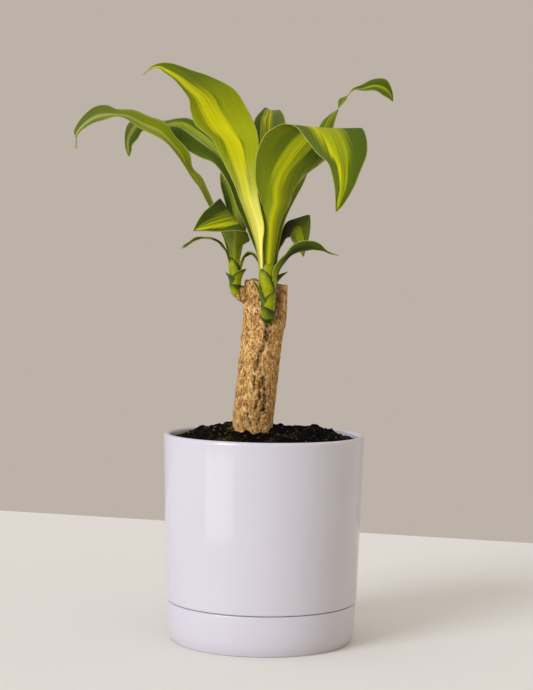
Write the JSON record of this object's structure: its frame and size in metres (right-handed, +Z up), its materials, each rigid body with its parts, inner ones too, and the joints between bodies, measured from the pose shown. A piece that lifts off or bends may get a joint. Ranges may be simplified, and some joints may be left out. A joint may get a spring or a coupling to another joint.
{
  "type": "potted corn plant",
  "caption": "Corn plant with striped strap leaves on a cut cane, in a plain cylindrical ceramic pot on its matching saucer; stands on a flat foot.",
  "frame": {"origin": "centre of the saucer's flat foot, on the surface that the plant stands on", "axes": "+Z up; the pictured side faces -Y, with the side shoot towards -X"},
  "size_m": [0.2902, 0.2167, 0.5146],
  "materials": {
    "white_glaze": "gloss",
    "potting_mix": "matte",
    "bark": "matte",
    "green_sheath": "satin",
    "striped_leaf": "satin"
  },
  "bodies": {
    "root": {"saucer": "white_glaze", "pot": "white_glaze", "soil": "potting_mix", "cane": "bark", "front_shoot_stem": "green_sheath", "side_shoot_stem": "green_sheath", "front_leaf_arching": "striped_leaf", "front_leaf_tall": "striped_leaf", "front_leaf_twisted": "striped_leaf", "front_leaf_rear": "striped_leaf", "front_leaf_left": "striped_leaf", "front_leaf_folded": "striped_leaf", "front_leaf_small": "striped_leaf", "side_leaf_long": "striped_leaf", "side_leaf_folded": "striped_leaf", "side_leaf_upright": "striped_leaf", "side_leaf_thin": "striped_leaf", "side_leaf_small": "striped_leaf"}
  },
  "joints": []
}
